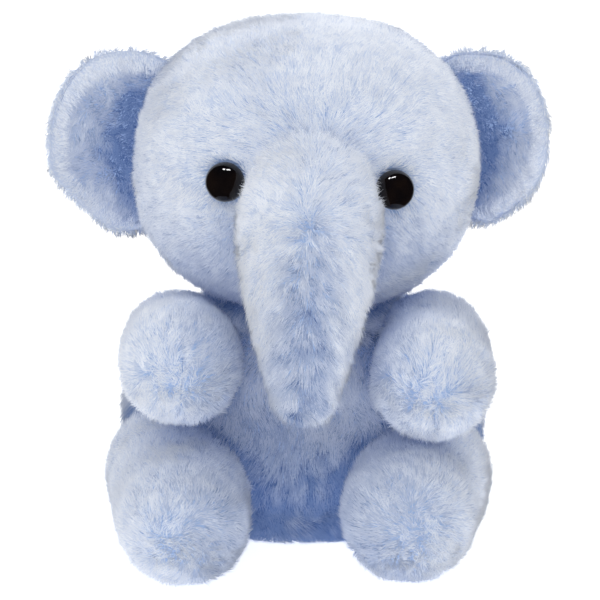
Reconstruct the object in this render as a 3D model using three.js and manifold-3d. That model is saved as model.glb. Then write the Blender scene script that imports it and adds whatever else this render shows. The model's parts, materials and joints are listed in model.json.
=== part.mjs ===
// A sitting plush elephant: sewn panels over fibrefill, safety eyes, and soft sewn-on limbs.
// Millimetres, +Z up. The toy faces -Y, so its own left side is +X. The origin is the middle of
// the flat base it sits on.
import * as THREE from 'three';
import { ConvexGeometry } from 'three/addons/geometries/ConvexGeometry.js';
import { mergeVertices } from 'three/addons/utils/BufferGeometryUtils.js';
import Module from 'manifold-3d';

const wasm = await Module();
wasm.setup();

// ---- driving dimensions ----
const PANEL = 2.4; // plush backing with the dense root of its pile
const GAP = 0.4; // clearance between two pieces that touch on the real toy
const ROOM = 1.2; // clearance around a limb in the hollow that it swings in
const FAR = 400; // longer than anything here, for cutting boxes

const TORSO = {
  depthRatio: 0.84, // front-to-back over side-to-side, below the shoulders
  // height above the base and half-width, from the rim of the flat base to the shoulders
  outline: [[0, 27], [2, 35], [7, 43], [15, 49], [25, 52.6], [36, 53.6], [46, 51], [56, 45], [63, 38]],
  neckRadius: 30,
  neckHeight: 59, // centre of the round top that the head sits on
};
const HEAD = { centre: [1, -8, 114], half: [50.7, 43, 43.4], power: 2.3 };
const GUSSET_HALF = 13; // half the width of the strip over the crown
const HEAD_SIDE_SEAM = 0; // Y of the seam between face and back of the head
const TORSO_SIDE_SEAM = 4;

const TRUNK = {
  // the middle line leaves the face forwards and droops: start, bend and blunt end
  line: [[2.2, -38, 114.5], [1.5, -72, 101], [0, -69, 52]],
  length: 74,
  rootRadius: 19,
  // share of the line and radius there, between the round root and the blunt end
  taper: [[0.2, 20.3], [0.4, 19.4], [0.55, 17.6], [0.7, 14.9], [0.85, 11.3], [0.96, 8.2]],
  tipRadius: 5.6,
  hinge: [2.2, -46, 122],
};
const ARMS = {
  left: { root: [39.5, -20, 60], end: [38.6, -55, 59], radii: [15, 17.3] },
  right: { root: [-38, -20, 60], end: [-36.2, -55, 63.4], radii: [15, 17.3] },
};
const LEGS = {
  left: { root: [35.5, -23, 20.5], end: [31.5, -63, 19], radii: [20.5, 19] },
  right: { root: [-38, -23, 20.5], end: [-35.5, -67, 18], radii: [20.5, 18] },
};
const SOLE_START = 0.42; // the sole begins this share of the end radius past the end centre
// taper narrows the outer edge of an ear towards its bottom, as a share of its half width
const EARS = {
  left: { centre: [53.5, 3, 119.7], half: [22.8, 27.7], taper: 0.15, roll: 4, yaw: -12 },
  right: { centre: [-54.2, 3, 118], half: [25, 29], taper: 0.42, roll: -2, yaw: 12 },
};
const EAR = { front: 3.2, back: 4.6, frontShare: 0.86, cup: 0.006, power: 2.3 };
const EAR_ROOM = 2; // clearance from the head that lets an ear flap
const EYES = { left: [26.9, 114.4], right: [-22.9, 116.9] }; // X and Z where each eye is set
const EYE = { radius: 6, dome: 5.2, shank: 1.9, shankLength: 9, washer: 6.5, washerThick: 1.2 };
const EYE_SEAT = 1.2; // how far the eye pulls its dimple into the panel
const PANEL_BOW = 1.3; // how far the panel curves away under the rim of the washer
const TAIL = { root: [0, 48.8, 28], end: [0, 55.5, 9], radii: [3.6, 2.6] };
const PELLETS = { half: [24, 18, 9], centre: [0, 9, 12.6] };

// Joint travel, in degrees, which the hollows around the limbs leave room for.
const TRAVEL = { trunk: [-3, 25], arm: [-5, 35], leg: [-8, 25] };

// ---- helpers ----
const vec = (a) => new THREE.Vector3(...a);
const rad = THREE.MathUtils.degToRad;
const group = new THREE.Group();

const COLOURS = { plush: 0xbccbea, shade: 0x93a9d8, fill: 0xf2f1ec, eye: 0x0b0a0c, nylon: 0xe8e6e0 };
const FINISH = {
  plush: [0.95, 0], shade: [0.95, 0], fill: [1, 0], eye: [0.12, 0], nylon: [0.5, 0],
};

// A closed three.js geometry as a manifold-3d solid.
function solid(geometry) {
  const bare = new THREE.BufferGeometry();
  bare.setAttribute('position', geometry.getAttribute('position'));
  if (geometry.index) bare.setIndex(geometry.index);
  const merged = mergeVertices(bare, 1e-4);
  const corners = [];
  for (let i = 0; i < merged.index.count; i += 3) {
    const [a, b, c] = [0, 1, 2].map((k) => merged.index.getX(i + k));
    if (a !== b && b !== c && c !== a) corners.push(a, b, c);
  }
  const vertProperties = Float32Array.from(merged.getAttribute('position').array);
  const triVerts = Uint32Array.from(corners);
  return new wasm.Manifold(new wasm.Mesh({ numProp: 3, vertProperties, triVerts }));
}

function addPiece(name, shape, finish) {
  const { vertProperties, triVerts } = shape.getMesh();
  const geometry = new THREE.BufferGeometry();
  geometry.setAttribute('position', new THREE.BufferAttribute(vertProperties, 3));
  geometry.setIndex(new THREE.BufferAttribute(triVerts, 1));
  const [roughness, metalness] = FINISH[finish];
  const material = new THREE.MeshStandardMaterial({ color: COLOURS[finish], roughness, metalness });
  const mesh = new THREE.Mesh(geometry, material);
  mesh.name = name;
  group.add(mesh);
}

const union = (shapes) => shapes.reduce((all, shape) => all.add(shape));

// An axis-aligned block between two corners; a missing side reaches far out.
function block({ x = [-FAR, FAR], y = [-FAR, FAR], z = [-FAR, FAR] }) {
  const box = new THREE.BoxGeometry(x[1] - x[0], y[1] - y[0], z[1] - z[0]);
  return solid(box.translate((x[0] + x[1]) / 2, (y[0] + y[1]) / 2, (z[0] + z[1]) / 2));
}

// Moves an open profile of [radius, height] outwards by grow, along its normals.
function grown(profile, grow) {
  return profile.map((point, i) => {
    const before = profile[Math.max(i - 1, 0)];
    const after = profile[Math.min(i + 1, profile.length - 1)];
    const along = new THREE.Vector2(after[0] - before[0], after[1] - before[1]).normalize();
    const onAxis = i === 0 || i === profile.length - 1;
    const r = onAxis ? 0 : Math.max(point[0] + along.y * grow, 0.05);
    const z = onAxis ? point[1] + Math.sign(i - 0.5) * grow : point[1] - along.x * grow;
    return [r, z];
  });
}

// A solid of revolution about +Z; the profile runs up from the axis and back to the axis.
function turned(profile, segments) {
  const points = profile.map(([r, z]) => new THREE.Vector2(r, z));
  return new THREE.LatheGeometry(points, segments).rotateX(Math.PI / 2);
}

// Takes a shape made along +Z to a start point, with +Z towards the end point.
function alongLine(geometry, start, end) {
  const direction = vec(end).sub(vec(start)).normalize();
  const turn = new THREE.Quaternion().setFromUnitVectors(new THREE.Vector3(0, 0, 1), direction);
  return geometry.applyQuaternion(turn).translate(...start);
}

// A point turned about an axis through a pivot.
function swung(point, pivot, axis, degrees) {
  return vec(point).sub(vec(pivot)).applyAxisAngle(axis, rad(degrees)).add(vec(pivot));
}

// The convex shape that wraps some geometries' points where they are over a swing.
function wrapped(geometries) {
  const points = [];
  for (const { geometry, pivot, axis, travel } of geometries) {
    const corners = geometry.getAttribute('position');
    for (const degrees of travel) {
      for (let i = 0; i < corners.count; i += 1) {
        const corner = new THREE.Vector3().fromBufferAttribute(corners, i).toArray();
        points.push(swung(corner, pivot, axis, degrees));
      }
    }
  }
  return solid(new ConvexGeometry(points));
}
const ball = (centre, radius, detail) => new THREE.SphereGeometry(radius, ...detail)
  .rotateX(Math.PI / 2).translate(...centre);

// ---- forms: each takes the amount by which its surface is grown ----
// Two spheres and the cone that wraps them.
function limbForm({ root, end, radii }, segments = 12) {
  return (grow) => {
    const length = vec(root).distanceTo(vec(end));
    const lean = Math.asin((radii[0] - radii[1]) / length);
    const [low, high] = radii.map((r) => r + grow);
    const profile = [];
    const arcSteps = 3;
    for (let i = 0; i <= arcSteps; i += 1) {
      const angle = -Math.PI / 2 + ((Math.PI / 2 + lean) * i) / arcSteps;
      profile.push([low * Math.cos(angle), low * Math.sin(angle)]);
    }
    for (let i = 0; i <= arcSteps; i += 1) {
      const angle = lean + ((Math.PI / 2 - lean) * i) / arcSteps;
      profile.push([high * Math.cos(angle), length + high * Math.sin(angle)]);
    }
    profile[0][0] = 0;
    profile[profile.length - 1][0] = 0;
    return alongLine(turned(profile, segments), root, end);
  };
}

// A point of the trunk given straight along +Z, laid along the trunk's drooping middle line.
const trunkLine = new THREE.QuadraticBezierCurve3(...TRUNK.line.map(vec));
function alongTrunk(point) {
  const share = THREE.MathUtils.clamp(point.z / TRUNK.length, 0, 1);
  const ahead = trunkLine.getTangent(share);
  const side = new THREE.Vector3(1, 0, 0).addScaledVector(ahead, -ahead.x).normalize();
  const front = new THREE.Vector3().crossVectors(ahead, side);
  return trunkLine.getPoint(share)
    .addScaledVector(side, point.x)
    .addScaledVector(front, point.y)
    .addScaledVector(ahead, point.z - share * TRUNK.length);
}
function moved(geometry, place) {
  const position = geometry.getAttribute('position');
  const point = new THREE.Vector3();
  for (let i = 0; i < position.count; i += 1) {
    position.setXYZ(i, ...place(point.fromBufferAttribute(position, i)).toArray());
  }
  return geometry;
}
function trunkForm(grow) {
  const profile = [];
  const arcSteps = 4;
  for (let i = 0; i < arcSteps; i += 1) {
    const angle = -Math.PI / 2 + (Math.PI / 2) * (i / arcSteps);
    profile.push([TRUNK.rootRadius * Math.cos(angle), TRUNK.rootRadius * Math.sin(angle)]);
  }
  profile.push([TRUNK.rootRadius, 0]);
  for (const [share, radius] of TRUNK.taper) profile.push([radius, share * TRUNK.length]);
  profile.push([TRUNK.tipRadius, TRUNK.length], [0, TRUNK.length]);
  profile[0][0] = 0;
  return moved(turned(grown(profile, grow), 14), alongTrunk);
}

function torsoForm(grow) {
  const profile = [[0, 0], ...TORSO.outline.map(([z, r]) => [r, z])];
  const shoulder = profile[profile.length - 1];
  const start = Math.asin((shoulder[1] + 4 - TORSO.neckHeight) / TORSO.neckRadius);
  const arcSteps = 5;
  for (let i = 0; i <= arcSteps; i += 1) {
    const angle = start + ((Math.PI / 2 - start) * i) / arcSteps;
    const r = i === arcSteps ? 0 : TORSO.neckRadius * Math.cos(angle);
    profile.push([r, TORSO.neckHeight + TORSO.neckRadius * Math.sin(angle)]);
  }
  const geometry = turned(grown(profile, grow), 22);
  const position = geometry.getAttribute('position');
  for (let i = 0; i < position.count; i += 1) {
    const blend = THREE.MathUtils.smoothstep(position.getZ(i), 44, 66);
    const ratio = THREE.MathUtils.lerp(TORSO.depthRatio, 1, blend);
    position.setY(i, position.getY(i) * ratio);
  }
  return geometry;
}

// A rounded ellipsoid, a little squarer than a true one where power is over 2.
function headForm(grow) {
  const geometry = new THREE.SphereGeometry(1, 24, 13).rotateX(Math.PI / 2);
  const position = geometry.getAttribute('position');
  const point = new THREE.Vector3();
  for (let i = 0; i < position.count; i += 1) {
    point.fromBufferAttribute(position, i);
    const parts = point.toArray().map((v, k) => Math.abs(v / (HEAD.half[k] + grow)) ** HEAD.power);
    point.multiplyScalar((parts[0] + parts[1] + parts[2]) ** (-1 / HEAD.power));
    position.setXYZ(i, ...point.add(vec(HEAD.centre)).toArray());
  }
  return geometry;
}

// One padded side of an ear: domed on its outer face and lying on the ear's cupped middle sheet.
function earSide(ear, share, dome, facing) {
  const geometry = new THREE.SphereGeometry(1, 16, 8).rotateX(facing * (Math.PI / 2));
  const position = geometry.getAttribute('position');
  const point = new THREE.Vector3();
  for (let i = 0; i < position.count; i += 1) {
    point.fromBufferAttribute(position, i);
    const parts = Math.abs(point.x) ** EAR.power + Math.abs(point.z) ** EAR.power;
    const flat = Math.hypot(point.x, point.z);
    const square = flat > 1e-6 ? flat / parts ** (1 / EAR.power) : 1;
    const z = point.z * square * ear.half[1] * share;
    const outer = Math.sign(point.x) === Math.sign(ear.centre[0]);
    const low = THREE.MathUtils.smoothstep(-z / ear.half[1], 0.15, 1);
    const width = ear.half[0] * share * (outer ? 1 - ear.taper * low : 1);
    const x = point.x * square * width;
    const outward = point.y * facing > 0 ? Math.abs(point.y) * dome : 0;
    position.setXYZ(i, x, facing * (outward + GAP / 2) - EAR.cup * x * x, z);
  }
  const turn = new THREE.Euler(0, rad(ear.roll), rad(ear.yaw), 'ZYX');
  return geometry.applyQuaternion(new THREE.Quaternion().setFromEuler(turn))
    .translate(...ear.centre);
}

// ---- hollows, so that each limb swings without touching what it is sewn to ----
const across = new THREE.Vector3(1, 0, 0);
const upward = new THREE.Vector3(0, 0, 1);
const sides = ['left', 'right'];
const inward = { left: 1, right: -1 };

// The hollow that a limb swings in: its round root stays where it is, and its end sweeps round.
function limbHollow({ root, end, radii }, side, travel, clearance) {
  const swing = { pivot: root, axis: upward };
  const degrees = [travel[0], 0, travel[1]].map((a) => a * inward[side]);
  return wrapped([
    { geometry: ball(root, radii[0] + clearance, [12, 8]), ...swing, travel: [0] },
    { geometry: ball(end, radii[1] + clearance, [6, 4]), ...swing, travel: degrees },
  ]);
}
function neckHollow(clearance) {
  return solid(ball([0, 0, TORSO.neckHeight], TORSO.neckRadius + clearance, [16, 10]));
}

// ---- torso ----
function torsoSolid(grow) {
  const hollows = sides.flatMap((side) => [
    limbHollow(ARMS[side], side, TRAVEL.arm, ROOM - grow),
    limbHollow(LEGS[side], side, TRAVEL.leg, ROOM - grow),
  ]);
  return solid(torsoForm(grow)).subtract(union(hollows));
}

const torsoOuter = torsoSolid(0);
const torsoSkin = torsoOuter.subtract(torsoSolid(-PANEL));
const seam = GAP / 2;
const aboveBase = PANEL + GAP;
addPiece('belly_panel',
  torsoSkin.intersect(block({ y: [-FAR, TORSO_SIDE_SEAM - seam], z: [aboveBase, FAR] })), 'plush');
for (const side of sides) {
  const x = side === 'left' ? [seam, FAR] : [-FAR, -seam];
  const region = block({ x, y: [TORSO_SIDE_SEAM + seam, FAR], z: [aboveBase, FAR] });
  addPiece(`back_panel_${side}`, torsoSkin.intersect(region), 'plush');
}
addPiece('base_panel', torsoOuter.intersect(block({ z: [-1, PANEL] })), 'plush');

function pelletForm(grow) {
  const half = PELLETS.half.map((v) => v + grow);
  return new THREE.SphereGeometry(1, 14, 8).rotateX(Math.PI / 2).scale(...half)
    .translate(...PELLETS.centre);
}
const pelletRecess = solid(pelletForm(GAP)).add(solid(pelletForm(GAP).translate(0, 0, -7)));
addPiece('pellet_bag', solid(pelletForm(0)), 'nylon');
addPiece('torso_stuffing', torsoSolid(-PANEL - GAP).subtract(pelletRecess), 'fill');

// ---- head ----
function headSolid(grow) {
  return solid(headForm(grow)).subtract(neckHollow(ROOM - grow));
}

// Where an eye sits: the point on the head's surface and the way it looks.
function eyeSeat([x, z]) {
  const [a, b, c] = HEAD.half;
  const n = HEAD.power;
  const dx = x - HEAD.centre[0];
  const dz = z - HEAD.centre[2];
  const rest = 1 - Math.abs(dx / a) ** n - Math.abs(dz / c) ** n;
  const dy = -b * rest ** (1 / n);
  const slope = (d, half) => (Math.sign(d) * Math.abs(d / half) ** (n - 1)) / half;
  const normal = new THREE.Vector3(slope(dx, a), slope(dy, b), slope(dz, c)).normalize();
  return { point: new THREE.Vector3(dx, dy, dz).add(vec(HEAD.centre)), normal };
}

// A turned shape set on an eye's axis, with height 0 on the bottom of its dimple.
function onEyeAxis(profile, seat) {
  const start = seat.point.clone().addScaledVector(seat.normal, -EYE_SEAT);
  const end = start.clone().add(seat.normal);
  return solid(alongLine(turned(profile, 14), start.toArray(), end.toArray()));
}

const cylinder = (r, low, high) => [[0, low], [r, low], [r, high], [0, high]];
const washerTop = -PANEL + EYE_SEAT - GAP - PANEL_BOW;
const washerLow = washerTop - EYE.washerThick;
const seats = sides.map((side) => ({ side, seat: eyeSeat(EYES[side]) }));
const dimples = union(seats.map(({ seat }) => onEyeAxis(cylinder(EYE.radius + 1.2, 0, 9), seat)));
const shankHoles = union(seats.map(({ seat }) => onEyeAxis(
  cylinder(EYE.shank + GAP, -EYE.shankLength - 1, 2), seat)));
const washerRooms = union(seats.map(({ seat }) => onEyeAxis(
  cylinder(EYE.washer + GAP, washerLow - GAP, washerTop + 3), seat)));

for (const { side, seat } of seats) {
  const profile = [[0, -EYE.shankLength], [EYE.shank - 0.4, -EYE.shankLength],
    [EYE.shank, -EYE.shankLength + 1], [EYE.shank, GAP], [EYE.radius - 0.3, GAP]];
  const steps = 4;
  for (let i = 0; i <= steps; i += 1) {
    const angle = (Math.PI / 2) * (i / steps);
    const r = i === steps ? 0 : EYE.radius * Math.cos(angle);
    profile.push([r, GAP + 0.6 + EYE.dome * Math.sin(angle)]);
  }
  addPiece(`eye_${side}`, onEyeAxis(profile, seat), 'eye');
  const bore = EYE.shank + 0.3;
  const ring = [[bore, washerLow], [EYE.washer, washerLow], [EYE.washer, washerTop],
    [bore, washerTop], [bore, washerLow]];
  addPiece(`eye_washer_${side}`, onEyeAxis(ring, seat), 'nylon');
}

const headSkin = headSolid(0).subtract(headSolid(-PANEL)).subtract(dimples).subtract(shankHoles);
const chinTop = TRUNK.line[0][2];
const middle = [HEAD.centre[0] - GUSSET_HALF + seam, HEAD.centre[0] + GUSSET_HALF - seam];
const chinRegion = block({ x: middle, y: [-FAR, -12], z: [-FAR, chinTop] });
const chinCut = block({ x: middle, y: [-FAR, -12 + GAP], z: [-FAR, chinTop] });
addPiece('chin_panel', headSkin.intersect(chinRegion), 'plush');
addPiece('crown_gusset', headSkin.intersect(block({ x: middle })).subtract(chinCut), 'plush');
for (const side of sides) {
  const edge = HEAD.centre[0] + inward[side] * (GUSSET_HALF + seam);
  const x = side === 'left' ? [edge, FAR] : [-FAR, edge];
  const face = block({ x, y: [-FAR, HEAD_SIDE_SEAM - seam] });
  const back = block({ x, y: [HEAD_SIDE_SEAM + seam, FAR] });
  addPiece(`face_panel_${side}`, headSkin.intersect(face), 'plush');
  addPiece(`head_back_panel_${side}`, headSkin.intersect(back), 'plush');
}
addPiece('head_stuffing',
  headSolid(-PANEL - GAP).subtract(shankHoles).subtract(washerRooms), 'fill');

// ---- trunk: a front panel, an under panel and a blunt end patch around stuffing ----
// Its wide end is shaped to the face, with room for the face as the trunk lifts and droops.
const faceRoom = wrapped([{
  geometry: headForm(GAP), pivot: TRUNK.hinge, axis: across, travel: [0, ...TRAVEL.trunk],
}]);
const trunkSolid = (grow) => solid(trunkForm(grow)).subtract(faceRoom);
function trunkRegion(y, z) {
  const box = new THREE.BoxGeometry(60, y[1] - y[0], z[1] - z[0], 1, 1, 8)
    .translate(0, (y[0] + y[1]) / 2, (z[0] + z[1]) / 2);
  return solid(moved(box, alongTrunk));
}
const trunkSkin = trunkSolid(0).subtract(solid(trunkForm(-PANEL)));
const patchAt = TRUNK.length - PANEL;
const width = TRUNK.rootRadius + 1;
addPiece('trunk_front_panel',
  trunkSkin.intersect(trunkRegion([seam, width], [-width, patchAt])), 'plush');
addPiece('trunk_under_panel',
  trunkSkin.intersect(trunkRegion([-width, -seam], [-width, patchAt])), 'plush');
addPiece('trunk_tip_patch',
  trunkSkin.intersect(trunkRegion([-width, width], [patchAt + GAP, TRUNK.length + 3])), 'plush');
addPiece('trunk_stuffing', trunkSolid(-PANEL - GAP), 'fill');

// ---- arms and legs: an outer and an inner panel, with a round sole on each foot ----
function limbRegion({ root, end }, x, reach) {
  const box = new THREE.BoxGeometry(x[1] - x[0], 2 * FAR, reach[1] - reach[0])
    .translate((x[0] + x[1]) / 2, 0, (reach[0] + reach[1]) / 2);
  return solid(alongLine(box, root, end));
}
function addLimb(name, spec, side, soleAt) {
  const form = limbForm(spec);
  const skin = solid(form(0)).subtract(solid(form(-PANEL)));
  const reach = [-FAR, soleAt ?? FAR];
  const halves = { outer: inward[side], inner: -inward[side] };
  for (const [half, sign] of Object.entries(halves)) {
    const x = sign > 0 ? [seam, FAR] : [-FAR, -seam];
    addPiece(`${name}_${half}_panel_${side}`, skin.intersect(limbRegion(spec, x, reach)), 'plush');
  }
  if (soleAt) {
    const region = limbRegion(spec, [-FAR, FAR], [soleAt + GAP, FAR]);
    addPiece(`foot_sole_${side}`, skin.intersect(region), 'plush');
  }
  addPiece(`${name}_stuffing_${side}`, solid(form(-PANEL - GAP)), 'fill');
}
for (const side of sides) {
  addLimb('arm', ARMS[side], side);
  const leg = LEGS[side];
  const length = vec(leg.root).distanceTo(vec(leg.end));
  addLimb('leg', leg, side, length + SOLE_START * leg.radii[1]);
}

// ---- ears: two sewn layers, trimmed to the side of the head over their whole flap ----
const headRoom = solid(headForm(EAR_ROOM));
for (const side of sides) {
  const ear = EARS[side];
  addPiece(`ear_front_panel_${side}`,
    solid(earSide(ear, EAR.frontShare, EAR.front, -1)).subtract(headRoom), 'shade');
  addPiece(`ear_back_panel_${side}`, solid(earSide(ear, 1, EAR.back, 1)).subtract(headRoom), 'plush');
}

// ---- tail ----
addPiece('tail', solid(limbForm(TAIL, 12)(0)), 'plush');

export default group;
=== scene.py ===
"""A sitting plush elephant in pale blue pile, dressed around its packed CAD frame.

Each sewn panel gets its knitted backing and its own pile, strand by strand, on the panel's CAD
surface; the stuffing, pellet bag, eyes and washers are finished around their CAD nodes. The forms
are worked out in millimetres, as in the CAD source, and become metres when a mesh is made.
"""
import json
import math
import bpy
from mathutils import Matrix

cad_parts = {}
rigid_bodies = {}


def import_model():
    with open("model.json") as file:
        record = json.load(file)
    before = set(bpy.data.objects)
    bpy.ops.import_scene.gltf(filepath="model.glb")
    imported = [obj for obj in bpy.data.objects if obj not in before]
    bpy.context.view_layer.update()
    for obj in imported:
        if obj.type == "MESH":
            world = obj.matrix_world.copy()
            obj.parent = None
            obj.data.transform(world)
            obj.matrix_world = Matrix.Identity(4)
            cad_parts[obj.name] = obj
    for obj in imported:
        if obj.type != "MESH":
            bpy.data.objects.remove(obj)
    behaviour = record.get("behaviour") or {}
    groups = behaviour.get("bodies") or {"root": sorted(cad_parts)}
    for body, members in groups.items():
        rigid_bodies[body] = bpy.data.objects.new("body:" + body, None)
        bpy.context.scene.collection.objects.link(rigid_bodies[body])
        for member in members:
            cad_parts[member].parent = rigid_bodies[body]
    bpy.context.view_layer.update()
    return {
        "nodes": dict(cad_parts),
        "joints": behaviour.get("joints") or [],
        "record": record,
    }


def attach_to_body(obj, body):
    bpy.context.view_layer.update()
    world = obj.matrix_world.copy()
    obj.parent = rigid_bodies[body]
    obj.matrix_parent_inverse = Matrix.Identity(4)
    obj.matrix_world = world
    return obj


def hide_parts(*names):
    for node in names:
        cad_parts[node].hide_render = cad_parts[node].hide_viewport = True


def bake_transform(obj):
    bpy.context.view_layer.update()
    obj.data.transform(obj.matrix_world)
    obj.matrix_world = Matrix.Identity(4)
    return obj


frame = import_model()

from types import SimpleNamespace

import bmesh
import bpy
import numpy as np
from mathutils import Matrix, Vector

# ---- driving dimensions, in millimetres, as the CAD has them ----
MM = 0.001
TORSO_OUTLINE = ((0, 27), (2, 35), (7, 43), (15, 49), (25, 52.6), (36, 53.6), (46, 51), (56, 45), (63, 38))
TORSO_DEPTH = 0.84  # front to back over side to side, up to the shoulders
TORSO_ROUND = (44, 66)  # between these heights the torso goes from flattened to round
NECK_RADIUS = 30
NECK_RISE = 4  # the neck's dome starts this far above the shoulder
TORSO_SIDE_SEAM = 4
BASE_EDGE = 2.6
HEAD_CENTRE = np.array((1.0, -8.0, 114.0))
HEAD_HALF = np.array((50.7, 43.0, 43.4))
HEAD_POWER = 2.3
GUSSET_HALF = 13
CHIN_BACK = -12
TRUNK_LINE = np.array(((2.2, -38, 114.5), (1.5, -72, 101), (0, -69, 52)), float)
TRUNK_LENGTH = 74
TRUNK_PATCH = 2.2  # height of the patch that closes the trunk's end
TRUNK_TAPER = (
    (0, 19), (0.2, 20.3), (0.4, 19.4), (0.55, 17.6), (0.7, 14.9), (0.85, 11.3), (0.96, 8.2), (1, 5.6),
)
LIMBS = {  # the middle of the round end, and the radii at the joint and at the end
    "arm_left": ((38.6, -55, 59), (15, 17.3)),
    "arm_right": ((-36.2, -55, 63.4), (15, 17.3)),
    "leg_left": ((31.5, -63, 19), (20.5, 19)),
    "leg_right": ((-35.5, -67, 18), (20.5, 18)),
    "tail": ((0, 55.5, 9), (3.6, 2.6)),
}
SOLE_START = 0.42
EARS = {  # middle, half sizes, taper of the outer edge, roll and yaw in degrees
    "ear_left": ((53.5, 3, 119.7), (22.8, 27.7), 0.15, 4, -12),
    "ear_right": ((-54.2, 3, 118), (25, 29), 0.42, -2, 12),
}
EAR_DOMES = {"front": (3.2, 0.86, -1), "back": (4.6, 1.0, 1)}  # height, share of the size, side
EAR_CUP = 0.006
EAR_ROLL = 0.18  # how far the back layer rolls over the rim to the front, as a share of the size
EAR_TURN = 0.86  # the share of the back layer that is dome, before it turns over the rim
EAR_OVER = 2.2  # how far it comes forward there
EAR_GAP = 0.2  # from either layer's edge to the sheet between the two
EAR_POWER = 2.3
EYES = {"left": (26.9, 114.4), "right": (-22.9, 116.9)}  # X and Z on the face
EYE_RADIUS = 6.0
EYE_DIMPLE = 0.8  # how far the eye pulls the backing in round it
EYE_DIMPLE_SPAN = (5.5, 9.0)  # the distance from the eye's axis over which that fades out
EYE_REACH = 14  # cloth further than this along the axis isn't beside the eye
EYE_SINK = 1.2
SHANK_RADIUS = 1.9
SHANK_LENGTH = 9
SHANK_RIDGES = 5
SEAM_DIMPLE = 0.35

BACKING_DEPTH = 1.2  # the knitted backing lies this far under the CAD surface
BACKING_THICK = 0.9
COVERED = 4.0  # pile this deep inside a neighbour at every pose is left out
FLOOR_CLEARANCE = 0.2
# waves over the toy: how long each is, and the seed that it starts from
SWELL, RIPPLE = (30, 11), (13, 12)  # of the cloth
SWIRL, WISP, SWAY = (26, 21), (6, 22), (8, 23)  # of the way the pile leans, and of its lift
PATCH, MOTTLE = (34, 31), (7, 32)  # of its shade
LUMP = (9, 41)  # of the stuffing
STRAND_HALF = (0.08, 0.13)  # thinnest and thickest half width of a strand's root
STRAND_MIDDLE = 0.9  # a strand's width in its middle, as a share of the root's
TUFT_SIZE = 2.3
WHORL_LIFT = 68  # degrees, where the comb gives no way along the cloth
STRAY_WAY = 0.22  # how far single strands stray in their way, lift (degrees), length and shade
STRAY_LIFT = 9
STRAY_LENGTH = 0.12
STRAY_SHADE = 0.035
ROUNDNESS = 0.7  # how far a strand is shaded as round, from 0, as flat as the cloth under it
STRANDS_A_PIECE = 22000  # a panel with more strands has its pile in several pieces
FAR = 1000  # beyond any part of the toy

# ---- camera and light ----
CAMERA_AIM = Vector((-0.0009, -0.0120, 0.0720))
CAMERA_ELEVATION = 14
CAMERA_DISTANCE = 1.5
CAMERA_LENS = 295


# ---- small mathematics on arrays of points ----
def unit(vectors):
    length = np.linalg.norm(vectors, axis=-1, keepdims=True)
    return vectors / np.maximum(length, 1e-9)


def dot(a, b):
    return (a * b).sum(axis=-1, keepdims=True)


def smoothstep(value, low, high):
    t = np.clip((value - low) / (high - low), 0, 1)
    return t * t * (3 - 2 * t)


def waves(points, length, seed, count=8):
    """A smooth random vector at each point, about -1 to 1, with swells about length across."""
    rng = np.random.default_rng(seed)
    pace = 2 * np.pi / length * rng.uniform(0.6, 1.5, (count, 1))
    heading = unit(rng.normal(size=(count, 3))) * pace
    phase = rng.uniform(0, 2 * np.pi, (count, 3))
    total = np.zeros((len(points), 3))
    for way, start in zip(heading, phase):
        total += np.sin((points @ way)[:, None] + start)
    return total * math.sqrt(2 / count) * 0.7


def turned(points, pivot, axis, degrees):
    turn = np.array(Matrix.Rotation(math.radians(degrees), 3, Vector(axis)))
    return (points - pivot) @ turn.T + pivot


# ---- forms: the surface of each stuffed part ----
JOINTS = {j["child"]: j for j in frame["joints"]}


def pivot_of(body):
    return np.array(JOINTS[body]["pos_m"]) / MM


def outward_of(body):
    """1 on a left part and -1 on a right one: the sign of the outer side's X."""
    return 1 if body.endswith("left") else -1


def gradient(field, points, step=0.05):
    sides = []
    for axis in np.eye(3) * step:
        sides.append((field(points + axis) - field(points - axis)) / (2 * step))
    return np.stack(sides, axis=-1)


def depth_in(form, points):
    """How far points lie under the form's surface, in millimetres; below 0 outside."""
    slope = np.linalg.norm(gradient(form.field, points), axis=1)
    return -form.field(points) / np.maximum(slope, 1e-6)


def smooth_profile(points, step=1.0, window=7):
    """A rounded, evenly spaced copy of a [radius, height] outline; its ends stay where they are."""
    points = np.array(points, float)
    along = np.concatenate(([0], np.cumsum(np.linalg.norm(np.diff(points, axis=0), axis=1))))
    even = np.linspace(0, along[-1], int(along[-1] / step))
    dense = np.stack([np.interp(even, along, points[:, k]) for k in range(2)], axis=1)
    padded = np.concatenate((
        2 * dense[0] - dense[window:0:-1], dense, 2 * dense[-1] - dense[-2:-2 - window:-1],
    ))
    kernel = np.hanning(2 * window + 1)
    rounded = [np.convolve(padded[:, k], kernel / kernel.sum(), "valid") for k in range(2)]
    return np.stack(rounded, axis=1)


def on_profile(profile, share, angle):
    steps = np.linspace(0, 1, len(profile))
    radius = np.interp(share, steps, profile[:, 0])
    height = np.interp(share, steps, profile[:, 1])
    return np.stack((radius * np.cos(angle), radius * np.sin(angle), height), axis=1)


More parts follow.
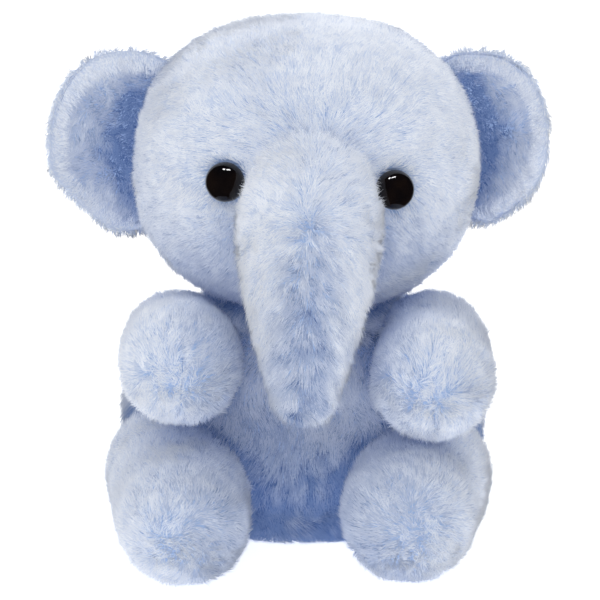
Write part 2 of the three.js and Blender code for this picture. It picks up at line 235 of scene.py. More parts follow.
def torso_form():
    shoulder = TORSO_OUTLINE[-1][0]
    start = math.asin((shoulder + NECK_RISE - pivot_of("head")[2]) / NECK_RADIUS)
    arc = np.linspace(start, math.pi / 2, 12)
    neck = np.stack((NECK_RADIUS * np.cos(arc), pivot_of("head")[2] + NECK_RADIUS * np.sin(arc)), 1)
    side = smooth_profile([(r, z) for z, r in TORSO_OUTLINE] + neck.tolist(), window=5)
    base = np.linspace(0, TORSO_OUTLINE[0][1] - 1, 14)
    profile = np.concatenate((np.stack((base, np.zeros(14)), 1), side))
    top = profile[-1, 1]

    def depth_ratio(z):
        return TORSO_DEPTH + (1 - TORSO_DEPTH) * smoothstep(z, *TORSO_ROUND)

    def field(points):
        x, y, z = points.T
        radius = np.interp(z, side[:, 1], side[:, 0])
        return np.maximum.reduce((np.hypot(x, y / depth_ratio(z)) - radius, -z, z - top))

    def point(share, angle):
        points = on_profile(profile, share, angle)
        points[:, 1] *= depth_ratio(points[:, 2])
        return points

    above = (0, 0, BASE_EDGE)
    return SimpleNamespace(
        body="torso", field=field, point=point, size=(90, 150),
        seams=[((0, TORSO_SIDE_SEAM, 0), (0, 1, 0)), ((0, 0, 0), (1, 0, 0)), (above, (0, 0, 1))],
        panels={
            "belly_panel": lambda c: (c[1] < TORSO_SIDE_SEAM) & (c[2] > BASE_EDGE),
            "back_panel_left": lambda c: (c[0] > 0) & (c[1] > TORSO_SIDE_SEAM) & (c[2] > BASE_EDGE),
            "back_panel_right": lambda c: (c[0] < 0) & (c[1] > TORSO_SIDE_SEAM) & (c[2] > BASE_EDGE),
            "base_panel": lambda c: c[2] < BASE_EDGE,
        },
        place=lambda p: p, neighbours=("head", "arm_left", "arm_right", "leg_left", "leg_right"),
    )


def head_size(points):
    """1 on the head's surface and less inside it."""
    parts = np.abs((points - HEAD_CENTRE) / HEAD_HALF) ** HEAD_POWER
    return parts.sum(axis=1) ** (1 / HEAD_POWER)


def head_form():
    def point(share, angle):
        polar = np.pi * (share - 0.5)
        way = np.stack((np.cos(polar) * np.cos(angle), np.cos(polar) * np.sin(angle), np.sin(polar)), 1)
        return way / head_size(HEAD_CENTRE + way)[:, None] + HEAD_CENTRE

    middle = HEAD_CENTRE[0]
    chin_top = TRUNK_LINE[0][2]

    def in_strip(c):
        return abs(c[0] - middle) < GUSSET_HALF

    def on_chin(c):
        return in_strip(c) & (c[1] < CHIN_BACK) & (c[2] < chin_top)

    return SimpleNamespace(
        body="head", field=lambda p: head_size(p) - 1, point=point, size=(84, 150),
        seams=[
            ((middle - GUSSET_HALF, 0, 0), (1, 0, 0)), ((middle + GUSSET_HALF, 0, 0), (1, 0, 0)),
            ((0, 0, 0), (0, 1, 0)), ((0, CHIN_BACK, 0), (0, 1, 0)), ((0, 0, chin_top), (0, 0, 1)),
        ],
        panels={
            "chin_panel": on_chin,
            "crown_gusset": lambda c: in_strip(c) & ~on_chin(c),
            "face_panel_left": lambda c: (c[0] > middle + GUSSET_HALF) & (c[1] < 0),
            "face_panel_right": lambda c: (c[0] < middle - GUSSET_HALF) & (c[1] < 0),
            "head_back_panel_left": lambda c: (c[0] > middle + GUSSET_HALF) & (c[1] > 0),
            "head_back_panel_right": lambda c: (c[0] < middle - GUSSET_HALF) & (c[1] > 0),
        },
        place=lambda p: p, neighbours=("torso", "trunk"),
    )


def trunk_line(share):
    s = np.asarray(share, float)[..., None]
    return (1 - s) ** 2 * TRUNK_LINE[0] + 2 * s * (1 - s) * TRUNK_LINE[1] + s ** 2 * TRUNK_LINE[2]


def along_trunk(points):
    """Points of the trunk given straight along +Z, laid along its drooping middle line."""
    share = np.clip(points[:, 2] / TRUNK_LENGTH, 0, 1)
    s = share[:, None]
    ahead = unit((1 - s) * (TRUNK_LINE[1] - TRUNK_LINE[0]) + s * (TRUNK_LINE[2] - TRUNK_LINE[1]))
    side = unit(np.array((1.0, 0, 0)) - ahead * ahead[:, :1])
    front = np.cross(ahead, side)
    past = points[:, 2:] - s * TRUNK_LENGTH
    return trunk_line(share) + side * points[:, :1] + front * points[:, 1:2] + ahead * past


def trunk_form():
    root = TRUNK_TAPER[0][1]
    arc = np.linspace(-math.pi / 2, 0, 12, endpoint=False)
    outline = np.stack((root * np.cos(arc), root * np.sin(arc)), 1).tolist()
    outline += [(r, share * TRUNK_LENGTH) for share, r in TRUNK_TAPER] + [(0, TRUNK_LENGTH)]
    profile = smooth_profile(outline, window=4)
    samples = np.linspace(0, 1, 80)
    line = trunk_line(samples)
    radii = np.interp(samples, *np.array(TRUNK_TAPER).T)

    def field(points):
        away = np.linalg.norm(points[:, None] - line, axis=2) - radii
        return away.min(axis=1)

    patch_at = TRUNK_LENGTH - TRUNK_PATCH
    return SimpleNamespace(
        body="trunk", field=field, point=lambda s, a: on_profile(profile, s, a), size=(56, 72),
        seams=[((0, 0, 0), (0, 1, 0)), ((0, 0, patch_at), (0, 0, 1))],
        panels={
            "trunk_front_panel": lambda c: (c[1] > 0) & (c[2] < patch_at),
            "trunk_under_panel": lambda c: (c[1] < 0) & (c[2] < patch_at),
            "trunk_tip_patch": lambda c: c[2] > patch_at,
        },
        place=along_trunk, neighbours=("head",),
    )


def limb_form(body):
    """Two spheres and the cone that wraps them, straight along +Z and then laid from root to end."""
    end, radii = LIMBS[body]
    root = pivot_of(body)
    line = np.array(end) - root
    length = np.linalg.norm(line)
    lean = math.asin((radii[0] - radii[1]) / length)
    low = np.linspace(-math.pi / 2, lean, 14)
    high = np.linspace(lean, math.pi / 2, 14)
    profile = smooth_profile(np.concatenate((
        np.stack((radii[0] * np.cos(low), radii[0] * np.sin(low)), 1),
        np.stack((radii[1] * np.cos(high), length + radii[1] * np.sin(high)), 1),
    )), step=0.5 if body == "tail" else 1.0, window=2)
    turn = Vector((0, 0, 1)).rotation_difference(Vector(line / length)).to_matrix()
    turn = np.array(turn)

    def field(points):
        share = np.clip((points - root) @ line / length ** 2, 0, 1)[:, None]
        nearest = root + share * line
        return np.linalg.norm(points - nearest, axis=1) - radii[0] - share[:, 0] * (radii[1] - radii[0])

    kind, _, side = body.partition("_")
    outer = outward_of(body)
    sole_at = length + SOLE_START * radii[1]
    seams = [((0, 0, 0), (1, 0, 0))]
    if kind == "tail":
        seams, panels = [], {"tail": lambda c: c[2] > -FAR}
    elif kind == "arm":
        panels = {
            f"arm_outer_panel_{side}": lambda c: c[0] * outer > 0,
            f"arm_inner_panel_{side}": lambda c: c[0] * outer < 0,
        }
    else:
        seams.append(((0, 0, sole_at), (0, 0, 1)))
        panels = {
            f"leg_outer_panel_{side}": lambda c: (c[0] * outer > 0) & (c[2] < sole_at),
            f"leg_inner_panel_{side}": lambda c: (c[0] * outer < 0) & (c[2] < sole_at),
            f"foot_sole_{side}": lambda c: c[2] > sole_at,
        }
    return SimpleNamespace(
        body=body, field=field, point=lambda s, a: on_profile(profile, s, a),
        size=(14, 18) if kind == "tail" else (44, 64), seams=seams, panels=panels,
        place=lambda p: p @ turn.T + root, neighbours=("torso",),
    )


def ear_form(body, layer):
    """One padded layer of an ear, domed outwards from the cupped sheet between the two layers."""
    centre, half, taper, roll, yaw = EARS[body]
    dome, share_of_size, facing = EAR_DOMES[layer]
    full_height = half[1]
    half = np.array(half) * share_of_size
    side = body.partition("_")[2]
    outward = outward_of(body)
    turn = Matrix.Rotation(math.radians(yaw), 3, "Z") @ Matrix.Rotation(math.radians(roll), 3, "Y")
    turn = np.array(turn)

    def narrowing(x, z):
        """What is left of the half width, which tapers towards the bottom on the outer edge."""
        return 1 - taper * smoothstep(-z / full_height, 0.15, 1) * (x * outward > 0)

    def point(share, angle):
        """Over the dome to the rim, and on the back layer round it to the edge of the lining."""
        turn_at = EAR_TURN if facing > 0 else 1
        polar = np.minimum(share / turn_at, 1) * math.pi / 2
        rolled = np.maximum(share - turn_at, 0) / max(1 - turn_at, 1e-6)
        flat = np.stack((np.cos(angle) * facing, np.sin(angle)), 1)
        square = (np.abs(flat) ** EAR_POWER).sum(axis=1) ** (-1 / EAR_POWER)
        reach = np.sin(polar) * (1 - EAR_ROLL * rolled)
        x, z = (flat * (reach * square)[:, None] * half).T
        x = x * narrowing(x, z)
        out = facing * (EAR_GAP + dome * np.cos(polar)) - np.sin(rolled * math.pi / 2) * EAR_OVER
        return np.stack((x, out - EAR_CUP * x * x, z), 1)

    def place(points):
        return points @ turn.T + np.array(centre)

    def field(points):
        x, y, z = ((points - np.array(centre)) @ turn).T
        wide = np.abs(x / half[0] / narrowing(x, z)) ** EAR_POWER
        size = (wide + np.abs(z / half[1]) ** EAR_POWER) ** (2 / EAR_POWER)
        return size + ((y + EAR_CUP * x * x) / dome) ** 2 - 1

    return SimpleNamespace(
        body=body, layer=layer, field=field, point=point, size=(24, 96), seams=[],
        panels={f"ear_{layer}_panel_{side}": lambda c: c[2] > -FAR},
        place=place, neighbours=("head",),
    )


FORMS = [torso_form(), head_form(), trunk_form()]
FORMS += [limb_form(body) for body in LIMBS]
FORMS += [ear_form(body, layer) for body in EARS for layer in EAR_DOMES]
SOLID = {form.body: form for form in FORMS if not form.body.startswith("ear")}


# ---- eyes on the face ----
def eye_seat(x, z):
    """The point on the head's surface where an eye is set, and the way that it looks."""
    dx, dz = x - HEAD_CENTRE[0], z - HEAD_CENTRE[2]
    rest = 1 - abs(dx / HEAD_HALF[0]) ** HEAD_POWER - abs(dz / HEAD_HALF[2]) ** HEAD_POWER
    point = HEAD_CENTRE + np.array((dx, -HEAD_HALF[1] * rest ** (1 / HEAD_POWER), dz))
    return point, unit(gradient(SOLID["head"].field, point[None]))[0]


SEATS = {side: eye_seat(*at) for side, at in EYES.items()}


def from_eyes(points):
    """Distance of each point from the nearer eye's axis, and the way straight away from it."""
    distance = np.full(len(points), float(FAR))
    away = np.zeros_like(points)
    for seat, axis in SEATS.values():
        offset = points - seat
        flat = offset - (offset @ axis)[:, None] * axis
        here = np.where(np.abs(offset @ axis) < EYE_REACH, np.linalg.norm(flat, axis=1), FAR)
        away = np.where((here < distance)[:, None], unit(flat), away)
        distance = np.minimum(distance, here)
    return distance, away


# ---- how the pile lies: each gives a direction at each place of a form ----
def carried(form, straight, direction, step=0.1):
    """A direction in the form's straight space, turned with the form as it is laid in the toy."""
    return (form.place(straight + direction * step) - form.place(straight)) / step


FACE_WHORL = np.array((2.5, -54, 120))  # where the face's pile starts, at the top of the trunk


def comb_torso(form, straight, placed):
    """Down and a little outwards, and a little to the toy's left down the middle."""
    middle = np.exp(-(placed[:, :1] / 16) ** 2)
    out = placed * (1, 1, 0)
    return unit(out) * 0.35 + np.array((0, 0, -1)) + middle * np.array((0.25, 0, 0))


def comb_head(form, straight, placed):
    """Away from the top of the trunk over the face, and down over the back of the head."""
    from_nose = unit(placed - FACE_WHORL)
    back = smoothstep(placed[:, 1:2], -5, 30)
    return from_nose * (1 - back) + np.array((0, 0.2, -1)) * back + np.array((0, 0, -0.12))


def comb_trunk(form, straight, placed):
    """Up and out round the top, then parted along the ridge and down to the blunt end."""
    x, _, z = straight.T
    parting = np.tanh(x / 3.5)
    ahead = smoothstep(z, 18, 44) * 1.1 - 0.75 * (1 - smoothstep(z, 18, 36))
    direction = np.stack((parting, np.zeros_like(x), ahead), 1)
    return carried(form, straight, direction)


def comb_limb(form, straight, placed):
    """Back towards the body from a whorl a little under the middle of the round end."""
    back = carried(form, straight, np.tile((0.0, 0.0, -1.0), (len(straight), 1)))
    return back + np.array((0, 0, 0.3))


def comb_tail(form, straight, placed):
    """Straight along the tail to its end."""
    return carried(form, straight, np.tile((0.0, 0.0, 1.0), (len(straight), 1)))


def comb_ear(form, straight, placed):
    """Fanned out from the head in the lining; down the back layer and over its rim to the lining."""
    x, y, z = straight.T
    if form.layer == "front":
        direction = np.stack((np.full_like(x, 0.7 * outward_of(form.body)), 0 * x, z / 22 - 0.35), 1)
    else:
        height = y + EAR_CUP * x * x
        rolled = 1 - smoothstep(height, -0.8, 0.2)
        over = 1 - smoothstep(height, 0.3, 1.5)
        direction = np.stack((-x / 20 * rolled, -0.9 * over, -z / 20 * rolled - 0.6 * (1 - rolled)), 1)
    return carried(form, straight, direction)


COMBS = {
    "torso": comb_torso, "head": comb_head, "trunk": comb_trunk, "ear": comb_ear,
    "arm": comb_limb, "leg": comb_limb, "tail": comb_tail,
}


# ---- painted shade: each gives a shade to add at each place of a form, where shade falls ----
BROW = (90, 112)  # the face's painted shade deepens from the second height down to the first
# how much deeper the painted shade makes the pile in a crease
CREASE_SHADE = 0.65
CREASE_REACH = 8  # how far a crease's painted shade reaches; further beside the trunk and inside an ear
BESIDE_TRUNK_REACH = 10
EAR_CREASE_REACH = 14


def painted_shade(form, node, straight, placed):
    """Painted shade in the creases between parts, on the trunk's parting, low on belly and face, in the
    ears.
    """
    extra = np.zeros(len(placed))
    below_brow = 1 - smoothstep(placed[:, 2], *BROW)
    # painted shade in the creases, deepest where another part is nearest
    for other in FORMS:
        if other.body == form.body or (form.body, other.body) == ("trunk", "head"):
            continue
        beside_trunk = other.body == "trunk" and form.body == "head"
        depth = CREASE_SHADE
        reach = CREASE_REACH
        if beside_trunk:
            depth = 0.1 + 0.45 * below_brow
            reach = BESIDE_TRUNK_REACH
        if node.startswith("ear_front"):
            reach = EAR_CREASE_REACH
        crease = 1 - smoothstep(-depth_in(other, placed), -1, reach)
        extra = np.maximum(extra, crease * depth)
    # painted shade on the front of the face below the brow
    if form.body == "head":
        extra += 0.19 * below_brow * (placed[:, 1] < -10)
    # painted shade along the trunk's parting, and deeper towards its end
    if form.body == "trunk":
        ridge = np.exp(-(straight[:, 0] / 8) ** 2) * smoothstep(straight[:, 2], 22, 38)
        extra += ridge * 0.35 + 0.12 * smoothstep(straight[:, 2], 40, 66)
    # painted shade low on the front of the belly
    if form.body == "torso":
        extra += 0.6 * (1 - smoothstep(placed[:, 2], 5, 60)) * (placed[:, 1] < 0)
    # painted shade on the inner sides of the arms and legs, towards the middle of the toy
    if form.body.startswith(("arm", "leg")):
        extra += 0.22 * (1 - smoothstep(np.abs(placed[:, 0]), 24, 44))
    # painted shade in the ear lining, deepest a little above its middle, towards the head
    if node.startswith("ear_front"):
        from_head = straight[:, 0] * outward_of(form.body)
        from_dark = np.hypot((from_head + 4) / 21, (straight[:, 2] - 3) / 15)
        extra += 0.52 * (1 - smoothstep(from_dark, 0.1, 1.5))
    return extra


# density per square millimetre; length in mm; lift in degrees; shade from 0, pale, to 1, deep;
# swirl, wisp and tuft are how far the pile strays in large, small and single-tuft turns; mottle is
# how much its shade varies from tuft to tuft where it is deep
PLAIN = SimpleNamespace(
    density=5, length=4.5, lift=54, shade=0.2, swirl=0.5, wisp=0.3, tuft=0.12, mottle=0.06,
)


def look(**changes):
    return SimpleNamespace(**{**vars(PLAIN), **changes})


# each part's shade is partly painted light and shade: paler on the head and the backs of the ears, deeper
# on the torso and the ear linings
LOOKS = {
    "head": look(density=6, shade=0.14, swirl=0.35, wisp=0.2, tuft=0.06, lift=48),
    "trunk": look(
        density=6, length=5.2, shade=0.14, swirl=0.25, wisp=0.35, tuft=0.25, lift=48, mottle=0.18,
    ),
    "torso": look(density=6, length=6, shade=0.38, swirl=0.6, wisp=0.2, tuft=0.06),
    "ear_front": look(density=8, length=3.8, shade=0.26, wisp=0.5, tuft=0.1, mottle=0.06),
    "ear_back": look(density=8, length=3.6, shade=0.04, lift=26, swirl=0.25, wisp=0.12, tuft=0.02),
    "base": look(density=3, length=3.5, lift=20, shade=0.4),
    "tail": look(length=4, lift=35),
    "arm": look(shade=0.18),
    "leg": look(shade=0.18),
    "foot": look(shade=0.2, swirl=0.6),
}


def look_of(panel):
    """The look named as the panel's node begins, or else as its body."""
    named = [found for start, found in LOOKS.items() if panel.node.startswith(start)]
    return named[0] if named else LOOKS[panel.form.body]


# ---- materials ----
def srgb(*values):
    return [((v / 255 + 0.055) / 1.055) ** 2.4 for v in values]


TIP_PALE, TIP_DEEP = np.array(srgb(229, 234, 244)), np.array(srgb(112, 135, 180))
# the roots' tones are darker than the tips': painted shade deep in the pile
ROOT_PALE, ROOT_DEEP = np.array(srgb(197, 209, 232)), np.array(srgb(88, 112, 162))
TIP_TONES = 8
ROOT_TONES = 4


def new_material(name):
    material = bpy.data.materials.new(name)
    material.use_nodes = True
    tree = material.node_tree
    return material, tree, tree.nodes["Principled BSDF"]


def link(tree, source, target):
    tree.links.new(source, target)


def fibre_material(name, colour):
    """One tone of the dyed acrylic fibre; the root tones are darker with painted shade. The pattern is in
    the strands, each of which takes its tones.
    """
    material, _, shader = new_material(name)
    shader.inputs["Base Color"].default_value = (*colour, 1)
    shader.inputs["Roughness"].default_value = 0.85
    shader.inputs["Specular IOR Level"].default_value = 0
    return material


def textured(tree, shader, low, high, scale, detail=4):
    """Noise between two colours on the shader's colour; gives the noise's height."""
    place = tree.nodes.new("ShaderNodeTexCoord")
    noise = tree.nodes.new("ShaderNodeTexNoise")
    noise.inputs["Scale"].default_value = scale
    noise.inputs["Detail"].default_value = detail
    ramp = tree.nodes.new("ShaderNodeValToRGB")
    ramp.color_ramp.elements[0].color = (*low, 1)
    ramp.color_ramp.elements[1].color = (*high, 1)
    ramp.color_ramp.elements[0].position = 0.3
    ramp.color_ramp.elements[1].position = 0.7
    link(tree, place.outputs["Object"], noise.inputs["Vector"])
    link(tree, noise.outputs["Fac"], ramp.inputs["Fac"])
    link(tree, ramp.outputs["Color"], shader.inputs["Base Color"])
    return noise.outputs["Fac"]


def bumped(tree, shader, height, distance, strength=0.6):
    bump = tree.nodes.new("ShaderNodeBump")
    bump.inputs["Distance"].default_value = distance
    bump.inputs["Strength"].default_value = strength
    link(tree, height, bump.inputs["Height"])
    link(tree, bump.outputs["Normal"], shader.inputs["Normal"])


def knit_material(name, low, high):
    """The knitted backing under the pile: dyed blue, with fine courses."""
    material, tree, shader = new_material(name)
    textured(tree, shader, low, high, 260)
    shader.inputs["Roughness"].default_value = 0.95
    place = tree.nodes.new("ShaderNodeTexCoord")
    courses = tree.nodes.new("ShaderNodeTexWave")
    courses.bands_direction = "Z"
    courses.inputs["Scale"].default_value = 330
    courses.inputs["Distortion"].default_value = 2
    link(tree, place.outputs["Object"], courses.inputs["Vector"])
    bumped(tree, shader, courses.outputs["Fac"], 0.0002)
    return material


def fill_material():
    material, tree, shader = new_material("fibrefill")
    height = textured(tree, shader, srgb(226, 226, 222), srgb(250, 250, 248), 420, detail=8)
    shader.inputs["Roughness"].default_value = 1
    shader.inputs["Sheen Weight"].default_value = 0.4
    bumped(tree, shader, height, 0.0006)
    return material


def pellet_material():
    """Thin cotton pulled tight over plastic pellets."""
    material, tree, shader = new_material("pellet_cotton")
    textured(tree, shader, srgb(222, 219, 208), srgb(240, 238, 230), 90)
    shader.inputs["Roughness"].default_value = 0.9
    place = tree.nodes.new("ShaderNodeTexCoord")
    pellets = tree.nodes.new("ShaderNodeTexVoronoi")
    pellets.inputs["Scale"].default_value = 330
    link(tree, place.outputs["Object"], pellets.inputs["Vector"])
    bumped(tree, shader, pellets.outputs["Distance"], -0.0008)
    return material


def eye_material():
    """Polished black plastic that turns a very dark brown in its depth."""
    material, tree, shader = new_material("eye_gloss")
    textured(tree, shader, (0.002, 0.002, 0.003), (0.008, 0.005, 0.004), 160, detail=2)
    shader.inputs["Roughness"].default_value = 0.08
    shader.inputs["Specular IOR Level"].default_value = 0.35
    return material


def washer_material():
    material, tree, shader = new_material("washer_nylon")
    height = textured(tree, shader, srgb(222, 220, 212), srgb(234, 232, 226), 300)
    shader.inputs["Roughness"].default_value = 0.45
    bumped(tree, shader, height, 0.0001, 0.3)
    return material


def tones(name, pale, deep, count):
    steps = np.linspace(0, 1, count)
    return [fibre_material(f"{name}_{i}", pale + (deep - pale) * step) for i, step in enumerate(steps)]


TIPS = tones("pile_tip", TIP_PALE, TIP_DEEP, TIP_TONES)
ROOTS = tones("pile_root_painted_shade", ROOT_PALE, ROOT_DEEP, ROOT_TONES)
KNIT = knit_material("knit_backing", srgb(140, 164, 208), srgb(160, 182, 220))
KNIT_PALE = knit_material("knit_backing_pale", srgb(196, 208, 232), srgb(212, 221, 240))


# ---- meshes ----
def add_object(name, mesh):
    piece = bpy.data.objects.new(name, mesh)
    bpy.context.scene.collection.objects.link(piece)
    return piece


def ring_mesh(form):
    """The whole form in its straight space, with its poles closed and its seams cut in."""
    rows, columns = form.size
    share = np.repeat(np.linspace(0, 1, rows + 1), columns)
    angle = np.tile(np.linspace(0, 2 * math.pi, columns, endpoint=False), rows + 1)
    mesh = bmesh.new()
    corners = [mesh.verts.new(p) for p in form.point(share, angle)]
    for i in range(rows):
        for j in range(columns):
            k = (j + 1) % columns
            low, high = i * columns, (i + 1) * columns
            mesh.faces.new((corners[low + j], corners[low + k], corners[high + k], corners[high + j]))
    bmesh.ops.remove_doubles(mesh, verts=mesh.verts, dist=0.02)
    for co, no in form.seams:
        everything = mesh.verts[:] + mesh.edges[:] + mesh.faces[:]
        bmesh.ops.bisect_plane(mesh, geom=everything, plane_co=co, plane_no=no, dist=0.01)
    bmesh.ops.triangulate(mesh, faces=mesh.faces)
    return mesh


def panel_arrays(whole, belongs):
    """Corners, triangles and free-edge corners of the faces of one panel, in straight space."""
    faces = [f for f in whole.faces if belongs(f.calc_center_median())]
    corners = sorted({v for f in faces for v in f.verts}, key=lambda v: v.index)
    number = {v: i for i, v in enumerate(corners)}
    triangles = np.array([[number[v] for v in f.verts] for f in faces])
    chosen = set(faces)
    edge = np.zeros(len(corners), bool)
    for v in corners:
        edge[number[v]] = any(f not in chosen for f in v.link_faces) or v.is_boundary
    return np.array([v.co for v in corners], float), triangles, edge


def covered(form, points):
    """Which points are deep inside a neighbour wherever the joint between the two is."""
    hidden = np.zeros(len(points), bool)
    for name in form.neighbours:
        other = SOLID[name]
        child = form.body if form.body in JOINTS and JOINTS[form.body]["parent"] == name else name
        joint = JOINTS[child]
        back = 1 if child == form.body else -1
        here = np.ones(len(points), bool)
        for degrees in (joint["range_deg"][0], 0, joint["range_deg"][1]):
            if not here.any():
                break
            moved = turned(points[here], pivot_of(child), joint["axis"], back * degrees)
            here[here] = depth_in(other, moved) > COVERED
        hidden |= here
    return hidden


def sewn_panel(form, whole, node):
    """The outer face of a panel's backing, with its seams pulled in, and how its pile lies."""
    straight, triangles, edge = panel_arrays(whole, form.panels[node])
    placed = form.place(straight)
    normals = unit(gradient(form.field, placed))
    if form.body.startswith("ear"):
        normals = corner_normals(placed, triangles)
    dent = np.where(edge & ~on_floor(placed), SEAM_DIMPLE, 0.0)
    dent += EYE_DIMPLE * (1 - smoothstep(from_eyes(placed)[0], *EYE_DIMPLE_SPAN))
    swell = waves(placed, *SWELL)[:, 0] * 0.3 + waves(placed, *RIPPLE)[:, 0] * 0.12
    depth = BACKING_DEPTH + dent - swell
    comb = COMBS[form.body.partition("_")[0]]
    shading = normals
    if node.startswith("ear_back"):  # shaded as if it faced more forward, or the rim has a dark fringe
        front = carried(form, straight, np.tile((0.0, -1.0, 0.0), (len(straight), 1)))
        shading = unit(normals + front * smoothstep(dot(normals, front), -1, -0.3) * 2)
    # the panel carries its painted shade, which deepens the pile's tones
    return SimpleNamespace(
        node=node, form=form, normals=normals, triangles=triangles, edge=edge, shading=shading,
        points=placed - normals * depth[:, None], comb=comb(form, straight, placed),
        painted_shade=painted_shade(form, node, straight, placed)[:, None],
    )


def on_floor(points):
    return points[:, 2] < 0.5


def corner_normals(points, triangles):
    """Each corner's normal from the triangles round it."""
    a, b, c = (points[triangles[:, k]] for k in range(3))
    flat = np.cross(b - a, c - a)
    total = np.zeros_like(points)
    for k in range(3):
        np.add.at(total, triangles[:, k], flat)
    return unit(total)


def backing(panel):
    """The panel's knitted backing as a thin closed sheet."""
    points, normals = panel.points, panel.normals
    inner = points - normals * BACKING_THICK
    count = len(points)
    faces = panel.triangles
    edges = np.concatenate((faces[:, [0, 1]], faces[:, [1, 2]], faces[:, [2, 0]]))
    keys = edges[:, 0] * count + edges[:, 1]
    free = edges[~np.isin(keys, edges[:, 1] * count + edges[:, 0])]
    rim = np.stack((free[:, 1], free[:, 0], free[:, 0] + count, free[:, 1] + count), axis=1)
    mesh = bpy.data.meshes.new(panel.node + "_backing")
    faces_out = faces.tolist() + (faces[:, ::-1] + count).tolist() + rim.tolist()
    mesh.from_pydata((np.concatenate((points, inner)) * MM).tolist(), [], faces_out)
    mesh.materials.append(KNIT_PALE if panel.node.startswith("ear_back") else KNIT)
    mesh.shade_smooth()
    return add_object(mesh.name, mesh)


def scatter(panel, density, rng):
    """Random places on the panel, evenly spread, with what the panel says at each of them."""
    a, b, c = (panel.points[panel.triangles[:, k]] for k in range(3))
    areas = np.linalg.norm(np.cross(b - a, c - a), axis=1) / 2
    count = int(areas.sum() * density)
    which = rng.choice(len(areas), count, p=areas / areas.sum())
    u, v = rng.random((2, count, 1))
    over = u + v > 1
    u, v = np.where(over, 1 - u, u), np.where(over, 1 - v, v)
    weights = np.concatenate((1 - u - v, u, v), axis=1)[:, :, None]
    corners = panel.triangles[which]
    fields = (panel.points, panel.normals, panel.comb, panel.painted_shade, panel.shading)
    return [(values[corners] * weights).sum(axis=1) for values in fields]


def tufted(values, cells, strength):
    """Draws each strand's values towards the mean of its tuft."""
    count = np.bincount(cells)[:, None]
    mean = np.stack([np.bincount(cells, values[:, k]) for k in range(3)], 1) / np.maximum(count, 1)
    return values + (mean[cells] - values) * strength


def tuft_cells(root, seed):
    """The number of the tuft that each strand belongs to."""
    cell = np.floor(root / TUFT_SIZE + waves(root, 9, seed + 1) * 0.5).astype(int)
    _, cells = np.unique(cell, axis=0, return_inverse=True)
    return cells.ravel()


def bends(style, rng, strands, tuft):
    """From root to middle and from middle to tip of each strand, which bends over as it is combed."""
    root, normal, near_eye = strands.root, strands.normal, strands.near_eye
    count = len(root)
    way = strands.comb - dot(strands.comb, normal) * normal
    combed = np.clip(np.linalg.norm(way, axis=1, keepdims=True), 0, 1)
    way = way * (1 - 0.5 * near_eye) + strands.away * near_eye * 0.45
    way += waves(root, *SWIRL) * style.swirl + waves(root, *WISP) * style.wisp
    way += tuft * (style.tuft + 0.4 * (1 - combed)) + rng.normal(size=(count, 3)) * STRAY_WAY
    way = unit(way - dot(way, normal) * normal)
    lift = style.lift + (WHORL_LIFT - style.lift) * (1 - combed) ** 2
    lift = np.radians(lift + waves(root, *SWAY)[:, :1] * 8 + rng.normal(size=(count, 1)) * STRAY_LIFT)
    length = style.length * (1 + 0.08 * tuft[:, :1] + rng.normal(size=(count, 1)) * STRAY_LENGTH)
    length *= 1 - 0.35 * near_eye
    lower = (way * np.cos(lift) + normal * np.sin(lift)) * length / 2
    upper = (way * np.cos(lift * 0.5) + normal * np.sin(lift * 0.5)) * length / 2
    return lower, upper


def strand_corners(strands, middle, tip, rng):
    """Three corners round each root, three round its middle and one at the tip, with their normals."""
    root = strands.root
    along = unit(tip - root)
    across = unit(np.cross(along, strands.normal))
    third = np.cross(along, across)
    half = rng.uniform(*STRAND_HALF, (len(root), 1))
    sides = []
    for corner in np.radians((90, 210, 330)):
        sides.append(across * math.sin(corner) - third * math.cos(corner))
    corners = [root + s * half for s in sides] + [middle + s * half * STRAND_MIDDLE for s in sides] + [tip]
    shading = unit(strands.shading)
    rounded = [unit(shading + s * ROUNDNESS) for s in sides]
    return np.stack(corners, axis=1), np.stack([*rounded, *rounded, shading], axis=1)


def tones_for(style, rng, root, shade_paint, tuft):
    """The material slots of each strand's root part and tip, by how deep its shade is."""
    mottle = style.mottle * shade_paint
    patch = waves(root, *PATCH)[:, 0] * 0.06 + waves(root, *MOTTLE)[:, 0] * (0.04 + mottle)
    stray = tuft[:, 1] * (0.03 + mottle) + rng.normal(size=len(root)) * STRAY_SHADE
    # the look's shade, the painted shade, and tone that differs at random
    shade = style.shade + shade_paint + patch + stray
    shade = np.clip(shade, 0, 0.999)
    return np.stack((TIP_TONES + (shade * ROOT_TONES).astype(int), (shade * TIP_TONES).astype(int)), 1)


def strands_on(panel, style, rng):
    """The strands of a panel that show: where each is rooted, and what the panel says there."""
    # the fourth field is the painted shade at each root
    root, normal, comb, shade_paint, shading = scatter(panel, style.density, rng)
    distance, away = from_eyes(root)
    keep = ~covered(panel.form, root) & (distance > EYE_RADIUS + 0.1)
    near_eye = 1 - smoothstep(distance[keep], EYE_RADIUS + 1, EYE_RADIUS + 6)
    return SimpleNamespace(
        root=root[keep], normal=unit(normal[keep]), comb=comb[keep], shade_paint=shade_paint[keep][:, 0],
        shading=shading[keep], away=away[keep], near_eye=near_eye[:, None],
    )


